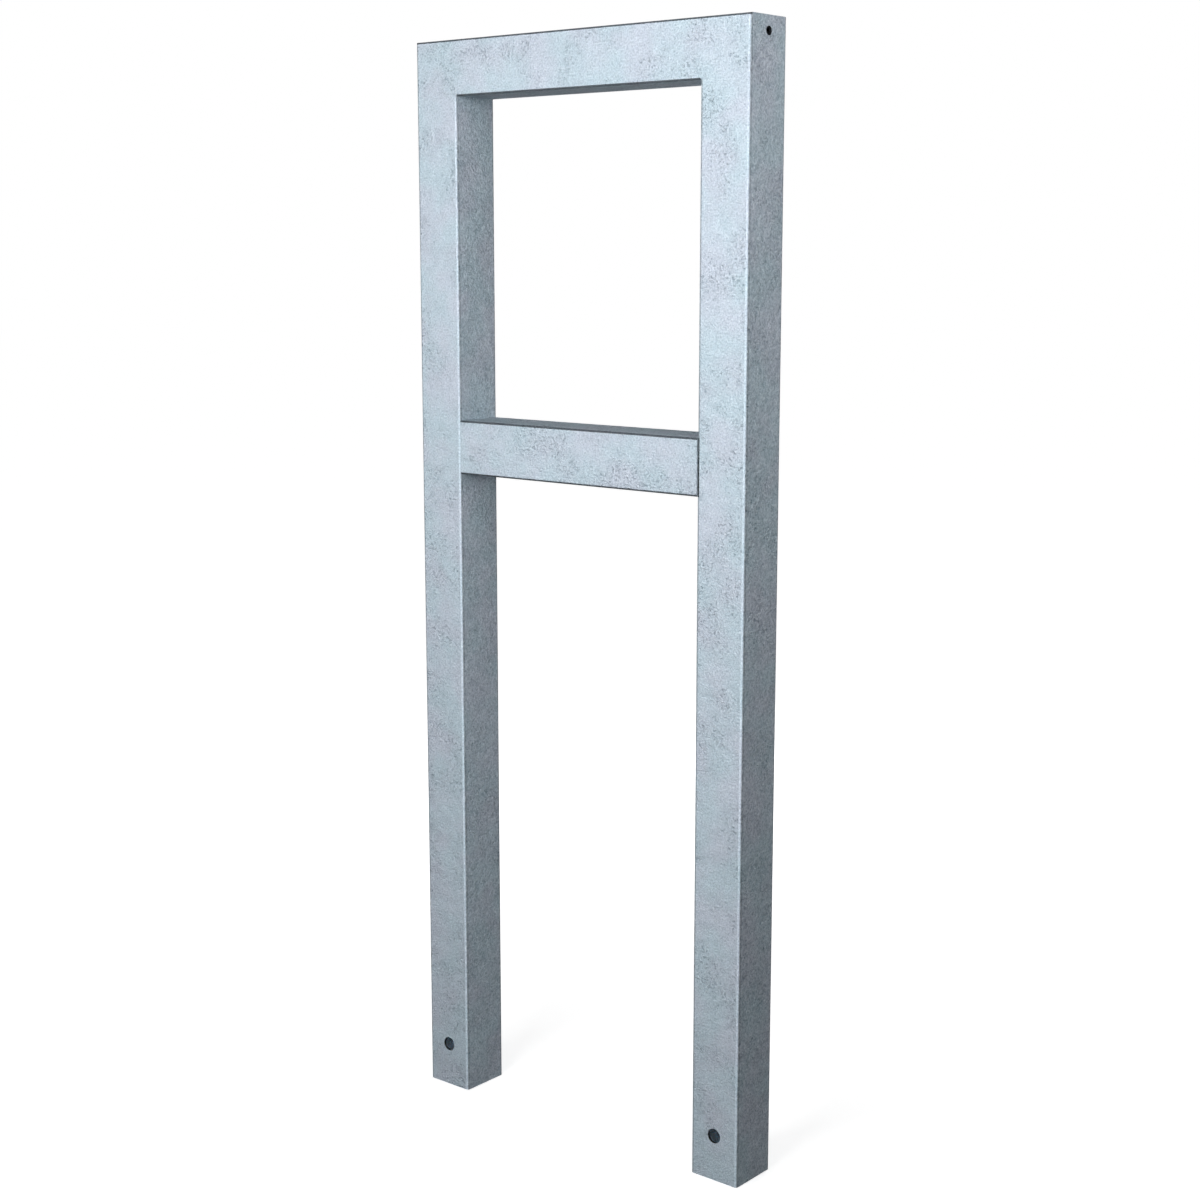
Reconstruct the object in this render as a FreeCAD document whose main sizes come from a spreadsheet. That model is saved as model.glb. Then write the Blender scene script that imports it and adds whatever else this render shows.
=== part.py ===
import FreeCAD, Part
import math
import os
import Sketcher

# Bike hoop of square steel tube: two posts, a top rail and a crossbar, with the weld metal of each joint.
# Sizes are in millimetres. X runs across the hoop, Y from its front to its back, and Z up.
# The origin is level with the feet, midway between them and midway through the tube.

SIZES = {
    "overall_width": 450,
    "overall_height": 1200,
    "tube_side": 60,
    "wall_thickness": 3,
    "outer_corner_radius": 3,
    "inner_corner_radius": 1,
    "crossbar_underside": 730,
    "mitre_weld_width": 2,
    "crossbar_weld_width": 2,
    "groove_fill": 0.6,
    "anchor_hole_diameter": 16,
    "anchor_hole_height": 50,
    "vent_hole_diameter": 9,
    "vent_hole_drop": 15,
    "zinc_port_diameter": 20,
}

# Lengths worked out from the sizes. groove_fill is the share of the rounded corner's depth
# that weld metal fills where the crossbar's end meets the corner of a post.

TUBE_SIDE = "Sizes.tube_side"
HALF_SIDE = "(Sizes.tube_side / 2)"
BORE_SIDE = "(Sizes.tube_side - 2 * Sizes.wall_thickness)"
OUTER_RADIUS = "Sizes.outer_corner_radius"
INNER_RADIUS = "Sizes.inner_corner_radius"
MITRE_WELD = "Sizes.mitre_weld_width"
CROSSBAR_WELD = "Sizes.crossbar_weld_width"
POST_DISTANCE = "((Sizes.overall_width - Sizes.tube_side) / 2)"
INNER_FACE = "(Sizes.overall_width / 2 - Sizes.tube_side)"
RAIL_HEIGHT = "(Sizes.overall_height - Sizes.tube_side / 2)"
CROSSBAR_HEIGHT = "(Sizes.crossbar_underside + Sizes.tube_side / 2)"
VENT_HEIGHT = "(Sizes.overall_height - Sizes.vent_hole_drop)"
MIDDLE = "0"

UPWARDS = FreeCAD.Vector(0, 0, 1)
HALF_TURN = 180
LEAST_CUT = 1.0


def fill_sheet(doc):
    """Write each size into a cell that carries its name."""
    sheet = doc.addObject("Spreadsheet::Sheet", "Sizes")
    for row, (name, value) in enumerate(SIZES.items(), start=1):
        sheet.set(f"A{row}", name)
        sheet.set(f"B{row}", str(value))
        sheet.setAlias(f"B{row}", name)
    doc.recompute()


def origin_plane(body, role):
    """Find one of a body's own origin planes."""
    return next(plane for plane in body.Origin.OriginFeatures if plane.Role == role)


def new_sketch(body, name, role):
    """Start a sketch on one of a body's own origin planes."""
    sketch = body.newObject("Sketcher::SketchObject", f"{body.Name}_{name}")
    sketch.AttachmentSupport = [(origin_plane(body, role), "")]
    sketch.MapMode = "FlatFace"
    return sketch


def bind(sketch, kind, target, size):
    """Add a dimension whose value is an expression."""
    constraint = Sketcher.Constraint(kind, *target, sketch.evalExpression(size))
    index = sketch.addConstraint(constraint)
    sketch.setExpression(f"Constraints[{index}]", size)


def pin(sketch, edge, end, point):
    """Hold an end of an edge, or a circle's centre, at a point of two expressions."""
    across, up = point
    bind(sketch, "DistanceX", (-1, 1, edge, end), across)
    bind(sketch, "DistanceY", (-1, 1, edge, end), up)


def located(sketch, point):
    """Work out a point of two expressions."""
    across, up = point
    return FreeCAD.Vector(sketch.evalExpression(across), sketch.evalExpression(up), 0)


def bend(start, end, radius):
    """Make the anticlockwise arc, under a half circle, that joins two points."""
    chord = end - start
    rise = math.sqrt(radius ** 2 - (chord.Length / 2) ** 2)
    inward = FreeCAD.Vector(-chord.y, chord.x, 0).normalize()
    ring = Part.Circle((start + end) / 2 + inward * rise, UPWARDS, radius)
    return Part.ArcOfCircle(ring, ring.parameter(start), ring.parameter(end))


def outline(sketch, corners, rounds=(), radius=None):
    """Draw a closed outline anticlockwise through the corners, with an arc after each corner in rounds."""
    points = [located(sketch, corner) for corner in corners]
    edges = []
    for index, (start, end) in enumerate(zip(points, points[1:] + points[:1])):
        if index in rounds:
            shape = bend(start, end, sketch.evalExpression(radius))
        else:
            shape = Part.LineSegment(start, end)
        edges.append(sketch.addGeometry(shape, False))
    for index, edge in enumerate(edges):
        following = (index + 1) % len(edges)
        sketch.addConstraint(Sketcher.Constraint("Coincident", edge, 2, edges[following], 1))
        pin(sketch, edge, 2, corners[following])
        if index in rounds:
            bind(sketch, "Radius", (edge,), radius)


def circle(sketch, centre, diameter):
    """Draw a circle."""
    ring = Part.Circle(located(sketch, centre), UPWARDS, sketch.evalExpression(diameter) / 2)
    edge = sketch.addGeometry(ring, False)
    pin(sketch, edge, 3, centre)
    bind(sketch, "Diameter", (edge,), diameter)


def rounded_square(sketch, side, radius):
    """Draw a square about the sketch's origin, with rounded corners."""
    half = f"({side} / 2)"
    flat = f"({side} / 2 - {radius})"
    corners = []
    for across, up in ((1, 1), (-1, 1), (-1, -1), (1, -1)):
        beside = (f"{across} * {half}", f"{up} * {flat}")
        above = (f"{across} * {flat}", f"{up} * {half}")
        corners += [beside, above] if across == up else [above, beside]
    outline(sketch, corners, rounds=range(0, len(corners), 2), radius=radius)


def tube(doc, name, role, length, both_ways=False):
    """Extrude the square tube's section from one origin plane."""
    body = doc.addObject("PartDesign::Body", name)
    body.Label = name
    section = new_sketch(body, "section", role)
    rounded_square(section, TUBE_SIDE, OUTER_RADIUS)
    rounded_square(section, BORE_SIDE, INNER_RADIUS)
    pad = body.newObject("PartDesign::Pad", f"{name}_tube")
    pad.Profile = section
    pad.SideType = "Symmetric" if both_ways else "One side"
    pad.setExpression("Length", length)
    return body


def cut(body, sketch, sides="Symmetric", forwards=False):
    """Cut a sketch through a body: to both sides of its plane, or only forwards or backwards."""
    pocket = body.newObject("PartDesign::Pocket", f"{sketch.Name}_cut")
    pocket.Profile = sketch
    pocket.Type = "ThroughAll"
    pocket.SideType = sides
    pocket.Reversed = forwards
    return pocket


def mitre_outline(sketch, centre, below=False):
    """Draw the waste above or below a 45 degree line through a point on a tube's axis."""
    across, up = centre
    left, right = f"{across} - {TUBE_SIDE}", f"{across} + {TUBE_SIDE}"
    bottom, top = f"{up} - {TUBE_SIDE}", f"{up} + {TUBE_SIDE}"
    if below:
        outline(sketch, [(left, bottom), (right, bottom), (right, top)])
    else:
        outline(sketch, [(left, bottom), (right, top), (left, top)])


def place(body, across, up, left_side=False):
    """Put a body at its distance across and its height, turned half round for the left side."""
    turn = FreeCAD.Rotation(UPWARDS, HALF_TURN if left_side else 0)
    body.Placement = FreeCAD.Placement(FreeCAD.Vector(), turn)
    body.setExpression("Placement.Base.x", f"-{across}" if left_side else across)
    body.setExpression("Placement.Base.z", up)


def make_post(doc, name, left_side):
    """Make a post with a mitred top, an anchor hole through it and a zinc port into the crossbar."""
    body = tube(doc, name, "XY_Plane", "Sizes.overall_height")
    mitre = new_sketch(body, "mitre", "XZ_Plane")
    mitre_outline(mitre, (MIDDLE, f"{RAIL_HEIGHT} - {MITRE_WELD}"))
    cut(body, mitre)
    anchor = new_sketch(body, "anchor_hole", "XZ_Plane")
    circle(anchor, (MIDDLE, "Sizes.anchor_hole_height"), "Sizes.anchor_hole_diameter")
    cut(body, anchor)
    port = new_sketch(body, "zinc_port", "YZ_Plane")
    circle(port, (MIDDLE, CROSSBAR_HEIGHT), "Sizes.zinc_port_diameter")
    cut(body, port, sides="One side")
    if not left_side:
        vent = new_sketch(body, "vent_hole", "YZ_Plane")
        circle(vent, (MIDDLE, VENT_HEIGHT), "Sizes.vent_hole_diameter")
        cut(body, vent, sides="One side", forwards=True)
    place(body, POST_DISTANCE, MIDDLE, left_side)
    return body


def make_top_rail(doc, name):
    """Make the top rail, mitred alike at both ends."""
    body = tube(doc, name, "YZ_Plane", "Sizes.overall_width", both_ways=True)
    mitre = new_sketch(body, "mitre", "XZ_Plane")
    mitre_outline(mitre, (POST_DISTANCE, MIDDLE), below=True)
    right_mitre = cut(body, mitre)
    left_mitre = body.newObject("PartDesign::Mirrored", f"{name}_mitre_mirrored")
    left_mitre.Originals = [right_mitre]
    left_mitre.MirrorPlane = (origin_plane(body, "YZ_Plane"), [""])
    body.Tip = left_mitre
    place(body, MIDDLE, RAIL_HEIGHT)
    return body


def make_crossbar(doc, name):
    """Make the crossbar, cut square, with room for weld metal at each end."""
    body = tube(doc, name, "YZ_Plane", f"2 * ({INNER_FACE} - {CROSSBAR_WELD})", both_ways=True)
    place(body, MIDDLE, CROSSBAR_HEIGHT)
    return body


def make_mitre_weld(doc, name, left_side):
    """Make the slice of weld metal between a post's mitre and the top rail's."""
    body = tube(doc, name, "XY_Plane", f"{TUBE_SIDE} + {MITRE_WELD}")
    rail_side = new_sketch(body, "rail_side", "XZ_Plane")
    mitre_outline(rail_side, (MIDDLE, f"{HALF_SIDE} + {MITRE_WELD}"))
    cut(body, rail_side)
    post_side = new_sketch(body, "post_side", "XZ_Plane")
    mitre_outline(post_side, (MIDDLE, HALF_SIDE), below=True)
    cut(body, post_side)
    place(body, POST_DISTANCE, f"Sizes.overall_height - {TUBE_SIDE} - {MITRE_WELD}", left_side)
    return body


def post_edge_outline(sketch):
    """Draw what lies past the weld metal: the post's side, its corners and the open part of each groove."""
    face = CROSSBAR_WELD
    beyond = f"{face} + {TUBE_SIDE}"
    flat = f"({HALF_SIDE} - {OUTER_RADIUS})"
    filled = f"({flat} + Sizes.groove_fill * {OUTER_RADIUS})"
    on_corner = f"{face} + {OUTER_RADIUS} * (1 - sqrt(1 - Sizes.groove_fill ^ 2))"
    corners = [
        (beyond, f"-{TUBE_SIDE}"),
        (beyond, TUBE_SIDE),
        (face, TUBE_SIDE),
        (face, filled),
        (on_corner, filled),
        (face, flat),
        (face, f"-{flat}"),
        (on_corner, f"-{filled}"),
        (face, f"-{filled}"),
        (face, f"-{TUBE_SIDE}"),
    ]
    outline(sketch, corners, rounds=(4, 6), radius=OUTER_RADIUS)


def make_crossbar_weld(doc, name, left_side):
    """Make the ring of weld metal at an end of the crossbar, which fills the foot of each groove."""
    body = tube(doc, name, "YZ_Plane", f"{CROSSBAR_WELD} + {OUTER_RADIUS}")
    post_edge = new_sketch(body, "post_edge", "XY_Plane")
    post_edge_outline(post_edge)
    cut(body, post_edge)
    place(body, f"({INNER_FACE} - {CROSSBAR_WELD})", CROSSBAR_HEIGHT, left_side)
    return body


def check_built(doc, bodies):
    """Stop if an object failed, a cut took nothing away, or a sub-part isn't one valid solid."""
    for item in doc.Objects:
        if {"Invalid", "Error"} & set(item.State):
            raise RuntimeError(f"{item.Name} failed: {item.State}")
        if item.TypeId == "PartDesign::Pocket":
            removed = item.BaseFeature.Shape.Volume - item.Shape.Volume
            if removed < LEAST_CUT:
                raise RuntimeError(f"{item.Name} cuts nothing")
    for body in bodies:
        shape = body.Shape
        if shape.isNull() or not shape.isValid() or len(shape.Solids) != 1:
            raise RuntimeError(f"{body.Label} is not one valid solid")


def main():
    doc = FreeCAD.newDocument("bike_hoop")
    fill_sheet(doc)
    bodies = [make_top_rail(doc, "top_rail"), make_crossbar(doc, "crossbar")]
    for side in ("left", "right"):
        left_side = side == "left"
        bodies.append(make_post(doc, f"{side}_post", left_side))
        bodies.append(make_mitre_weld(doc, f"{side}_mitre_weld", left_side))
        bodies.append(make_crossbar_weld(doc, f"{side}_crossbar_weld", left_side))
    doc.recompute()
    check_built(doc, bodies)
    os.makedirs("parts", exist_ok=True)
    for body in bodies:
        body.Shape.exportStep(f"parts/{body.Label}.step")
        print(f"{body.Label}: {body.Shape.Volume:.0f} mm3")


main()
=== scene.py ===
import math

import bpy
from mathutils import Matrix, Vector


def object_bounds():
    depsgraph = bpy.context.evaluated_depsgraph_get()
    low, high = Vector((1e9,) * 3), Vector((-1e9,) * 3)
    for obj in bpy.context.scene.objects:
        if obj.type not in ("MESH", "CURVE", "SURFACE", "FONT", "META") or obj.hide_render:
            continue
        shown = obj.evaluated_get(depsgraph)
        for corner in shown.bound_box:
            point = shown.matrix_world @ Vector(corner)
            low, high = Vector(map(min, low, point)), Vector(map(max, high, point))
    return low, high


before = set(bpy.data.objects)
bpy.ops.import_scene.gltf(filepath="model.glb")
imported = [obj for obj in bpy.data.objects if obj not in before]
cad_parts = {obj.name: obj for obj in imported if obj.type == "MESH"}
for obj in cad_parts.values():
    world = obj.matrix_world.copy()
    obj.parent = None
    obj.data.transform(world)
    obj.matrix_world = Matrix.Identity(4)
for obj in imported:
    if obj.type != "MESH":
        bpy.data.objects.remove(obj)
cad_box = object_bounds()

# Camera, in metres and degrees, for a square picture
CAMERA_PLACE = (1.3715, -1.6294, 0.9754)
CAMERA_TURN = 39.83
CAMERA_DIP = 9.95
SENSOR_WIDTH = 36.0
PICTURE_SIDE = 1200
FOCAL_PIXELS = 1989.4
CAMERA_REACH = 100.0

# Lamps: name, bearing from the front in degrees, distance, height, wide, tall, power in watts
LAMPS = (
    ("key_lamp", 5, 1.3, 1.17, 0.8, 0.6, 17.2),
    ("fill_lamp", 40, 2.1, 1.2, 0.6, 0.6, 3.0),
    ("right_lamp", 72, 1.0, 1.4, 0.8, 0.8, 4.4),
    ("back_right_lamp", 134, 2.1, 1.2, 1.1, 0.6, 2.5),
    ("back_lamp", 197, 2.2, 0.9, 1.0, 0.8, 20.0),
    ("left_lamp", -100, 1.6, 0.7, 0.9, 0.9, 6.0),
    ("low_lamp", 12, 1.6, 0.25, 0.9, 0.4, 2.0),
    ("top_lamp", 0, 0.0, 2.2, 0.5, 0.06, 2.5),
)
LAMP_COLOUR = (1.0, 1.0, 1.0)
LAMP_AIM = 1.0

# Backdrop and floor, with the reach of the shadow round the feet
BACKDROP_WHITE = (1.0, 1.0, 1.0, 1.0)
UNLIT = (0.0, 0.0, 0.0, 1.0)
FLOOR_SIDE = 40.0
FLOOR_TONE = (0.15, 0.15, 0.15, 1.0)
SHADOW_TONE = (0.6, 0.6, 0.6, 1.0)
SHADOW_SHARE = 0.30
SHADOW_NEAR = 0.4
SHADOW_FAR = 1.4

# Zinc colour, linear, and the two tints that it drifts between
ZINC = (0.535, 0.62, 0.70)
CYAN_TINT = (0.963, 1.012, 1.004)
LAVENDER_TINT = (1.027, 0.986, 1.002)

# Sizes of the marks in the zinc, in metres
DRIFT_SIZE = 0.045
CLOUD_SIZE = 0.040
BLOOM_SIZE = 0.012
SPANGLE_SIZE = 0.0045
PIT_SIZE = 0.0028
FLECK_SIZE = 0.0026
GRAIN_SIZE = 0.0020

# Steps between places that keep the noises apart, in metres
BLOOM_STEP = (3.1, 1.7, 5.3)
PIT_STEP = (0.7, 2.3, 0.9)
FLECK_STEP = (4.1, 0.3, 2.7)
DRIFT_STEP = (9.2, 6.6, 1.4)

# Detail and roughness of the noises, and the levels between which a noise turns into a mark
SOFT_DETAIL = 1.0
FINE_DETAIL = 2.0
PLAIN_ROUGHNESS = 0.5
SPECK_ROUGHNESS = 0.6
GRAIN_ROUGHNESS = 0.7
COVER_LEVELS = (0.40, 0.62)
SPECK_LEVELS = (0.58, 0.68)
DRIFT_LEVELS = (0.3, 0.7)

# Effect of each mark on the colour: swings go both ways about the middle, shares add up, and the last
# colour is what a total of 1 adds
COLOUR_SWINGS = {"crystals": 0.03, "blooms": 0.05, "clouds": -0.03, "grain": 0.60}
COLOUR_SHARES = {"pits": -0.16, "flecks": 0.15}
FULL_MARK = (0.6, 0.6, 0.6)

# Effect of each mark on the roughness, the share of bare metal and the relief
ROUGHNESS_SWINGS = {"crystals": -0.06, "blooms": 0.10}
ROUGHNESS_SHARES = {"pits": 0.15}
BASE_ROUGHNESS = 0.28
METAL_SHARES = {"flecks": 0.15}
BASE_METAL = 0.05
RELIEF_SWINGS = {"grain": 0.8, "blooms": 1.2}
RELIEF_SHARES = {"flecks": 0.6, "pits": -1.0}
RELIEF_DEPTH = 0.00085

# Tubes, in metres: half the width, half a tube and the top come from the CAD box's upper corner
HALF_WIDTH, TUBE_HALF, TOP = cad_box[1]
POST_MIDDLE = HALF_WIDTH - TUBE_HALF
RAIL_MIDDLE = TOP - TUBE_HALF
CROSSBAR_UNDERSIDE = 0.73
CROSSBAR_MIDDLE = CROSSBAR_UNDERSIDE + TUBE_HALF
WALL = 0.003

# Drilled holes, in metres, and the room left round them
ANCHOR_RADIUS = 0.008
ANCHOR_HEIGHT = 0.05
VENT_RADIUS = 0.0045
VENT_DROP = 0.015
VENT_HEIGHT = TOP - VENT_DROP
SLACK = 0.0001

# Tones as shares of the skin's: painted shade on the hole rims, and inside the posts painted light low down
# and painted shade high up
RIM_PAINTED_SHADE = 0.08
BORE_PAINTED_LIGHT = 1.75
DEEP_PAINTED_SHADE = 0.2

# Distances from a tube's middle: where the rounded edges and their painted highlight strip start, and where
# the grooves beside the crossbar start and end
EDGE_START = TUBE_HALF - 0.0021
CORNER_START = TUBE_HALF - 0.0031
PAINTED_HIGHLIGHT_START = TUBE_HALF - 0.0009
GROOVE_START = TUBE_HALF - 0.0027
GROOVE_END = TUBE_HALF - 0.0008

# Share of colour left by the painted shade on the rail's and crossbar's edges, on the posts' shaded corners
# and in the grooves
EDGE_PAINTED_SHADE = 0.21
CORNER_PAINTED_SHADE = 0.62
GROOVE_PAINTED_SHADE = 0.02

# Colour that the painted highlight strips gain between two heights, and the share of relief left there
PAINTED_HIGHLIGHT_LOW = 0.20
PAINTED_HIGHLIGHT_HIGH = -0.05
PAINTED_HIGHLIGHT_LOW_HEIGHT = 0.5
PAINTED_HIGHLIGHT_HIGH_HEIGHT = 1.15
PAINTED_HIGHLIGHT_RELIEF = 0.3

# Strength of the marks on faces that don't look forwards or back
SIDE_MARKS = 1.4

# Painted shade on the faces that look up or down, how steeply they have to, and the tones of the tubes and
# welds
LEVEL_PAINTED_SHADE = 0.80
LEVEL_SLOPE = 0.9
TUBE_TONE = 1.0
WELD_TONE = 0.96


def feed(tree, target, value):
    """Links a socket to the target, or sets the target's own value."""
    if isinstance(value, bpy.types.NodeSocket):
        tree.links.new(value, target)
    else:
        target.default_value = value


def add_node(tree, kind, inputs=None, **settings):
    """Adds a node with its settings, and feeds its inputs by name or number."""
    made = tree.nodes.new(kind)
    for name, value in settings.items():
        setattr(made, name, value)
    for key, value in (inputs or {}).items():
        feed(tree, made.inputs[key], value)
    return made


def calc(tree, operation, first, second=0.0):
    """One step of plain arithmetic on one or two numbers."""
    return add_node(tree, "ShaderNodeMath", {0: first, 1: second}, operation=operation).outputs[0]


def chain(tree, operation, values):
    """The sum, product or maximum of several numbers."""
    result = values[0]
    for value in values[1:]:
        result = calc(tree, operation, result, value)
    return result


def split(tree, place):
    """The three coordinates of a place or a direction."""
    return add_node(tree, "ShaderNodeSeparateXYZ", {0: place}).outputs


def moved(tree, place, step):
    """The same place moved along."""
    return add_node(tree, "ShaderNodeVectorMath", {0: place, 1: step}, operation="ADD").outputs[0]


def past(tree, value, limit):
    """1 where a number is over its limit, and 0 elsewhere."""
    return calc(tree, "GREATER_THAN", value, limit)


def under(tree, value, limit):
    """1 where a number is under its limit, and 0 elsewhere."""
    return calc(tree, "LESS_THAN", value, limit)


def distance(tree, value, middle=0.0):
    """How far a number is from a middle value, either way."""
    return calc(tree, "ABSOLUTE", calc(tree, "SUBTRACT", value, middle))


def within(tree, across, along, radius):
    """1 where a point lies inside a circle, and 0 outside it."""
    square = calc(tree, "ADD", calc(tree, "MULTIPLY", across, across), calc(tree, "MULTIPLY", along, along))
    return under(tree, square, radius * radius)


def inverse(tree, mask):
    """0 where the mask is 1, and 1 where it is 0."""
    return calc(tree, "SUBTRACT", 1.0, mask)


def every(tree, *masks):
    """1 where every mask is 1."""
    return chain(tree, "MULTIPLY", masks)


def fade(tree, mask, tone):
    """1 where the mask is 0, and the tone where the mask is 1."""
    return calc(tree, "SUBTRACT", 1.0, calc(tree, "MULTIPLY", mask, 1 - tone))


def window(tree, value, levels):
    """Turns a number smoothly from 0 at the lower level to 1 at the upper one."""
    limits = {"Value": value, "From Min": levels[0], "From Max": levels[1]}
    made = add_node(tree, "ShaderNodeMapRange", limits, interpolation_type="SMOOTHSTEP")
    return made.outputs["Result"]


def swing(tree, value, amount):
    """Turns a number between 0 and 1 into one between -amount and amount."""
    limits = {"Value": value, "To Min": -amount, "To Max": amount}
    return add_node(tree, "ShaderNodeMapRange", limits).outputs["Result"]


def noise(tree, place, size, detail, roughness=PLAIN_ROUGHNESS):
    """Cloud noise, about 0.5, with marks of the given size."""
    inputs = {"Vector": place, "Scale": 1 / size, "Detail": detail, "Roughness": roughness}
    return add_node(tree, "ShaderNodeTexNoise", inputs).outputs[0]


def spangle(tree, place):
    """One chance number for each zinc crystal, with bent crystal edges."""
    bend = noise(tree, place, SPANGLE_SIZE, SOFT_DETAIL)
    bent = moved(tree, place, calc(tree, "MULTIPLY", bend, SPANGLE_SIZE))
    cells = add_node(tree, "ShaderNodeTexVoronoi", {"Vector": bent, "Scale": 1 / SPANGLE_SIZE})
    return add_node(tree, "ShaderNodeSeparateColor", {"Color": cells.outputs["Color"]}).outputs[0]


def specks(tree, place, size, cover):
    """Small irregular marks, which gather where the cover is high."""
    dots = window(tree, noise(tree, place, size, FINE_DETAIL, SPECK_ROUGHNESS), SPECK_LEVELS)
    return calc(tree, "MULTIPLY", dots, cover)


def zinc_marks(tree, place):
    """The marks of the zinc by name, each between 0 and 1."""
    clouds = noise(tree, place, CLOUD_SIZE, FINE_DETAIL)
    cover = window(tree, clouds, COVER_LEVELS)
    return {
        "clouds": clouds,
        "blooms": noise(tree, moved(tree, place, BLOOM_STEP), BLOOM_SIZE, FINE_DETAIL),
        "crystals": spangle(tree, place),
        "grain": noise(tree, place, GRAIN_SIZE, FINE_DETAIL, GRAIN_ROUGHNESS),
        "pits": specks(tree, moved(tree, place, PIT_STEP), PIT_SIZE, cover),
        "flecks": specks(tree, moved(tree, place, FLECK_STEP), FLECK_SIZE, cover),
    }


def effect(tree, marks, swings, shares):
    """Adds up what each named mark does."""
    steps = [swing(tree, marks[name], amount) for name, amount in swings.items()]
    steps += [calc(tree, "MULTIPLY", marks[name], amount) for name, amount in shares.items()]
    return chain(tree, "ADD", steps)


def bore_mask(tree, axes):
    """1 on the walls inside the posts, and 0 on the outer skin and between the posts."""
    sideways = distance(tree, distance(tree, axes[0]), POST_MIDDLE)
    forwards = distance(tree, axes[1])
    upwards = calc(tree, "SUBTRACT", axes[2], RAIL_MIDDLE)
    outermost = chain(tree, "MAXIMUM", [sideways, forwards, upwards])
    return past(tree, calc(tree, "SUBTRACT", TUBE_HALF, outermost), WALL - SLACK)


def rim_mask(tree, axes):
    """1 on the rims of both anchor holes and of the vent hole, which only the right post has."""
    across = calc(tree, "SUBTRACT", distance(tree, axes[0]), POST_MIDDLE)
    above_anchor = calc(tree, "SUBTRACT", axes[2], ANCHOR_HEIGHT)
    above_vent = calc(tree, "SUBTRACT", axes[2], VENT_HEIGHT)
    anchor = within(tree, across, above_anchor, ANCHOR_RADIUS + SLACK)
    vent = within(tree, axes[1], above_vent, VENT_RADIUS + SLACK)
    return calc(tree, "MAXIMUM", anchor, every(tree, vent, past(tree, axes[0], POST_MIDDLE)))


def hole_shade(tree, axes):
    """1 on the outer skin, painted shade nearly black on the rims of the holes, painted light low inside
    the posts and painted shade high inside them.
    """
    bore = bore_mask(tree, axes)
    skin = fade(tree, rim_mask(tree, axes), RIM_PAINTED_SHADE)
    # Painted light low down inside the posts, and painted shade high up
    low = under(tree, axes[2], CROSSBAR_MIDDLE)
    inside = calc(tree, "ADD", calc(tree, "MULTIPLY", low, BORE_PAINTED_LIGHT - DEEP_PAINTED_SHADE), DEEP_PAINTED_SHADE)
    outside = calc(tree, "MULTIPLY", skin, inverse(tree, bore))
    return calc(tree, "ADD", outside, calc(tree, "MULTIPLY", bore, inside))


def level_edges(tree, axes):
    """1 along the rounded edges of the rail and the crossbar."""
    from_rail = distance(tree, axes[2], RAIL_MIDDLE)
    from_crossbar = distance(tree, axes[2], CROSSBAR_MIDDLE)
    nearest = calc(tree, "MINIMUM", from_rail, from_crossbar)
    forwards = distance(tree, axes[1])
    between = under(tree, distance(tree, axes[0]), POST_MIDDLE - TUBE_HALF)
    reach = calc(tree, "MAXIMUM", between, past(tree, axes[2], RAIL_MIDDLE))
    return every(tree, past(tree, nearest, EDGE_START), past(tree, forwards, EDGE_START), reach)


def upright_edges(tree, axes):
    """Masks of the posts' rounded edges with a painted highlight, with painted shade, and with painted
    shade in the grooves, alike after a half turn.
    """
    side = calc(tree, "SIGN", axes[0])
    across = calc(tree, "SUBTRACT", axes[0], calc(tree, "MULTIPLY", side, POST_MIDDLE))
    sideways = distance(tree, across)
    forwards = distance(tree, axes[1])
    on_post = under(tree, sideways, TUBE_HALF + SLACK)
    outside = past(tree, distance(tree, axes[0]), POST_MIDDLE)
    below_rail = under(tree, axes[2], RAIL_MIDDLE - TUBE_HALF)
    free = calc(tree, "MAXIMUM", outside, below_rail)
    near = every(tree, past(tree, sideways, CORNER_START), past(tree, forwards, CORNER_START))
    corner = every(tree, near, on_post, free)

    # Painted highlight on the front part of the corners on one side of each post
    highlight_side = under(tree, calc(tree, "MULTIPLY", across, axes[1]), 0.0)
    painted_highlight = every(tree, corner, highlight_side, past(tree, forwards, PAINTED_HIGHLIGHT_START))
    # Painted shade on the rest of the corner strips
    painted_corner_shade = calc(tree, "SUBTRACT", corner, painted_highlight)

    # Painted shade in the groove beside the crossbar, on the side without the painted highlight
    beside_crossbar = under(tree, distance(tree, axes[2], CROSSBAR_MIDDLE), TUBE_HALF)
    strip = every(tree, past(tree, sideways, GROOVE_START), under(tree, sideways, GROOVE_END))
    groove = every(tree, corner, inverse(tree, highlight_side), inverse(tree, outside), beside_crossbar, strip)
    return {"painted_highlight": painted_highlight, "painted_corner_shade": painted_corner_shade, "groove": groove}


def painted_highlight_factor(tree, painted_highlight, height):
    """What the painted highlight strips multiply the colour by, palest near the ground."""
    limits = {"Value": height, "From Min": PAINTED_HIGHLIGHT_LOW_HEIGHT, "From Max": PAINTED_HIGHLIGHT_HIGH_HEIGHT}
    limits.update({"To Min": PAINTED_HIGHLIGHT_LOW, "To Max": PAINTED_HIGHLIGHT_HIGH})
    lift = add_node(tree, "ShaderNodeMapRange", limits).outputs["Result"]
    return calc(tree, "ADD", 1.0, calc(tree, "MULTIPLY", painted_highlight, lift))


def level_shade(tree):
    """1 on the upright faces, and painted shade on those that look up or down."""
    normal = add_node(tree, "ShaderNodeTexCoord").outputs["Normal"]
    upwards = distance(tree, split(tree, normal)[2])
    return fade(tree, past(tree, upwards, LEVEL_SLOPE), LEVEL_PAINTED_SHADE)


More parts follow.
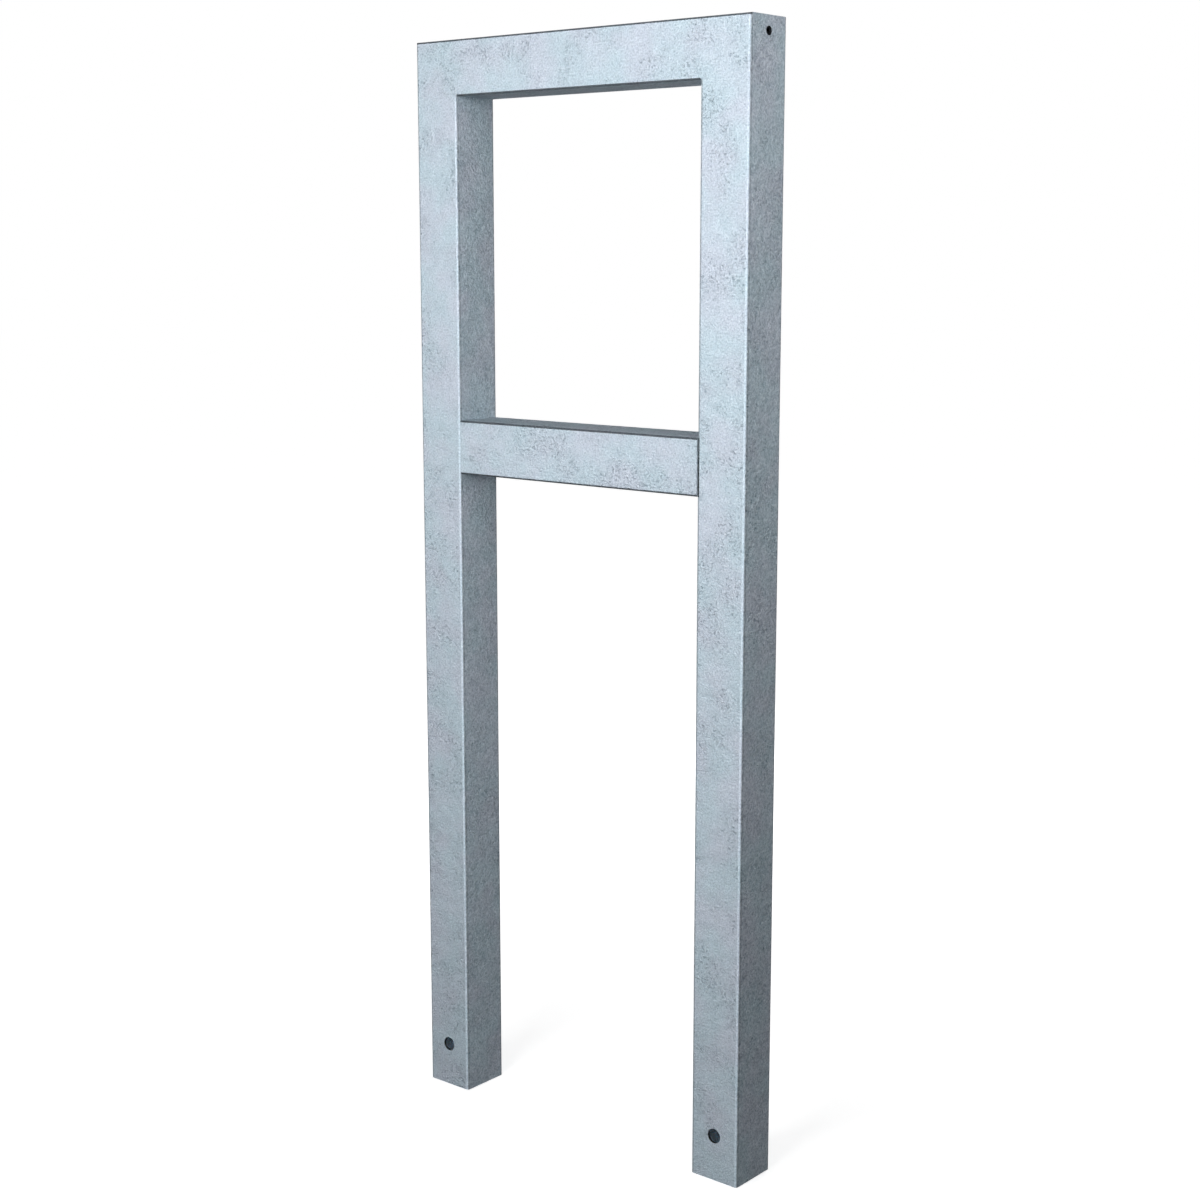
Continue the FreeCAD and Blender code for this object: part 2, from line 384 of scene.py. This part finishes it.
def zinc_shade(tree, axes, edges, tone):
    """The painted shade and painted light of the holes, the edges and the level faces, which multiply the
    colour.
    """
    shades = [
        hole_shade(tree, axes),
        # Painted shade on the rail's and crossbar's rounded edges
        fade(tree, level_edges(tree, axes), EDGE_PAINTED_SHADE),
        painted_highlight_factor(tree, edges["painted_highlight"], axes[2]),
        fade(tree, edges["painted_corner_shade"], CORNER_PAINTED_SHADE),
        fade(tree, edges["groove"], GROOVE_PAINTED_SHADE),
        level_shade(tree),
        tone,
    ]
    return chain(tree, "MULTIPLY", shades)


def zinc_tint(tree, place):
    """The zinc's colour, which drifts slowly between two tints."""
    drift = window(tree, noise(tree, moved(tree, place, DRIFT_STEP), DRIFT_SIZE, SOFT_DETAIL), DRIFT_LEVELS)
    # The mix node takes its colours at sockets 6 and 7, and gives the mixed one at 2
    tints = {0: drift, 6: (*CYAN_TINT, 1.0), 7: (*LAVENDER_TINT, 1.0)}
    tint = add_node(tree, "ShaderNodeMix", tints, data_type="RGBA").outputs[2]
    return add_node(tree, "ShaderNodeVectorMath", {0: tint, 1: ZINC}, operation="MULTIPLY").outputs[0]


def zinc_colour(tree, place, axes, marks, shade):
    """The tinted zinc with its marks, which are stronger on faces that don't look forwards or back."""
    lift = effect(tree, marks, COLOUR_SWINGS, COLOUR_SHARES)
    sideways = under(tree, distance(tree, axes[1]), EDGE_START)
    lift = calc(tree, "MULTIPLY", lift, fade(tree, sideways, SIDE_MARKS))
    inputs = {0: lift, 1: FULL_MARK, 2: zinc_tint(tree, place)}
    marked = add_node(tree, "ShaderNodeVectorMath", inputs, operation="MULTIPLY_ADD").outputs[0]
    return add_node(tree, "ShaderNodeVectorMath", {0: marked, "Scale": shade}, operation="SCALE").outputs[0]


def zinc_material(name, tone):
    """Hot-dip galvanised steel: matte zinc with spangle, clouds of pits, bright flecks and a slow tint,
    with painted shade and light on its edges, holes and level faces.
    """
    material = bpy.data.materials.new(name)
    material.use_nodes = True
    tree = material.node_tree
    shader = tree.nodes["Principled BSDF"]
    place = add_node(tree, "ShaderNodeTexCoord").outputs["Object"]
    axes = split(tree, place)
    marks = zinc_marks(tree, place)
    edges = upright_edges(tree, axes)

    shade = zinc_shade(tree, axes, edges, tone)
    feed(tree, shader.inputs["Base Color"], zinc_colour(tree, place, axes, marks, shade))
    roughness = effect(tree, marks, ROUGHNESS_SWINGS, ROUGHNESS_SHARES)
    feed(tree, shader.inputs["Roughness"], calc(tree, "ADD", roughness, BASE_ROUGHNESS))
    metal = effect(tree, marks, {}, METAL_SHARES)
    feed(tree, shader.inputs["Metallic"], calc(tree, "ADD", metal, BASE_METAL))
    shader.inputs["Specular IOR Level"].default_value = 0.0

    height = effect(tree, marks, RELIEF_SWINGS, RELIEF_SHARES)
    # Less relief on the painted highlight strips
    strength = fade(tree, edges["painted_highlight"], PAINTED_HIGHLIGHT_RELIEF)
    relief = {"Height": height, "Strength": strength, "Distance": RELIEF_DEPTH}
    feed(tree, shader.inputs["Normal"], add_node(tree, "ShaderNodeBump", relief).outputs[0])
    return material


def dress_nodes():
    """Gives every CAD node its finished zinc."""
    finish = {
        "galvanised_tube": zinc_material("zinc_tube", TUBE_TONE),
        "galvanised_weld": zinc_material("zinc_weld", WELD_TONE),
    }
    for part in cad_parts.values():
        for slot in part.material_slots:
            slot.material = finish[slot.material.name.split(".")[0]]


def seen_ray(tree):
    """1 for camera, glossy and transmission rays, and 0 for all others."""
    rays = add_node(tree, "ShaderNodeLightPath").outputs
    seen = [rays["Is Glossy Ray"], rays["Is Transmission Ray"], rays["Is Camera Ray"]]
    return chain(tree, "MAXIMUM", seen)


def make_backdrop():
    """A white surround for the camera and for reflections, which adds no other light."""
    world = bpy.data.worlds.new("backdrop")
    bpy.context.scene.world = world
    world.use_nodes = True
    tree = world.node_tree
    tree.nodes.clear()
    unlit = add_node(tree, "ShaderNodeBackground", {"Color": UNLIT, "Strength": 0.0})
    white = add_node(tree, "ShaderNodeBackground", {"Color": BACKDROP_WHITE, "Strength": 1.0})
    inputs = {0: seen_ray(tree), 1: unlit.outputs[0], 2: white.outputs[0]}
    chosen = add_node(tree, "ShaderNodeMixShader", inputs)
    add_node(tree, "ShaderNodeOutputWorld", {"Surface": chosen.outputs[0]})


def floor_material():
    """A pale floor that shows white, keeps a faint shadow round the feet and bounces little light."""
    material = bpy.data.materials.new("studio_floor")
    material.use_nodes = True
    tree = material.node_tree
    tree.nodes.clear()
    place = add_node(tree, "ShaderNodeTexCoord").outputs["Object"]
    away = add_node(tree, "ShaderNodeVectorMath", {0: place}, operation="LENGTH").outputs["Value"]
    near = inverse(tree, window(tree, away, (SHADOW_NEAR, SHADOW_FAR)))
    glow = inverse(tree, calc(tree, "MULTIPLY", near, SHADOW_SHARE))
    white = add_node(tree, "ShaderNodeEmission", {"Color": BACKDROP_WHITE, "Strength": glow})
    shaded = add_node(tree, "ShaderNodeBsdfDiffuse", {"Color": SHADOW_TONE})
    pale = add_node(tree, "ShaderNodeAddShader", {0: white.outputs[0], 1: shaded.outputs[0]})
    lit = add_node(tree, "ShaderNodeBsdfDiffuse", {"Color": FLOOR_TONE})
    inputs = {0: seen_ray(tree), 1: lit.outputs[0], 2: pale.outputs[0]}
    seen = add_node(tree, "ShaderNodeMixShader", inputs)
    add_node(tree, "ShaderNodeOutputMaterial", {"Surface": seen.outputs[0]})
    return material


def make_floor():
    """The floor that the feet stand on."""
    half = FLOOR_SIDE / 2
    corners = [(-half, -half, 0), (half, -half, 0), (half, half, 0), (-half, half, 0)]
    mesh = bpy.data.meshes.new("studio_floor")
    mesh.from_pydata(corners, [], [(0, 1, 2, 3)])
    mesh.materials.append(floor_material())
    floor = bpy.data.objects.new("studio_floor", mesh)
    bpy.context.collection.objects.link(floor)


def make_lamp(name, bearing, away, height, wide, tall, power):
    """A soft panel lamp that faces the rack from the given bearing."""
    light = bpy.data.lights.new(name, "AREA")
    light.shape = "RECTANGLE"
    light.size = wide
    light.size_y = tall
    light.energy = power
    light.color = LAMP_COLOUR
    lamp = bpy.data.objects.new(name, light)
    bpy.context.collection.objects.link(lamp)
    angle = math.radians(bearing)
    lamp.location = (math.sin(angle) * away, -math.cos(angle) * away, height)
    facing = Vector((0, 0, LAMP_AIM)) - lamp.location
    lamp.rotation_euler = facing.to_track_quat("-Z", "Y").to_euler()


def make_camera():
    """The photograph's viewpoint."""
    lens = bpy.data.cameras.new("camera")
    lens.sensor_width = SENSOR_WIDTH
    lens.lens = SENSOR_WIDTH * FOCAL_PIXELS / PICTURE_SIDE
    lens.clip_end = CAMERA_REACH
    camera = bpy.data.objects.new("camera", lens)
    bpy.context.collection.objects.link(camera)
    camera.location = CAMERA_PLACE
    camera.rotation_euler = (math.radians(90 - CAMERA_DIP), 0, math.radians(CAMERA_TURN))
    bpy.context.scene.camera = camera


bpy.context.scene.view_settings.view_transform = "Standard"
make_camera()
make_backdrop()
make_floor()
for lamp in LAMPS:
    make_lamp(*lamp)
dress_nodes()
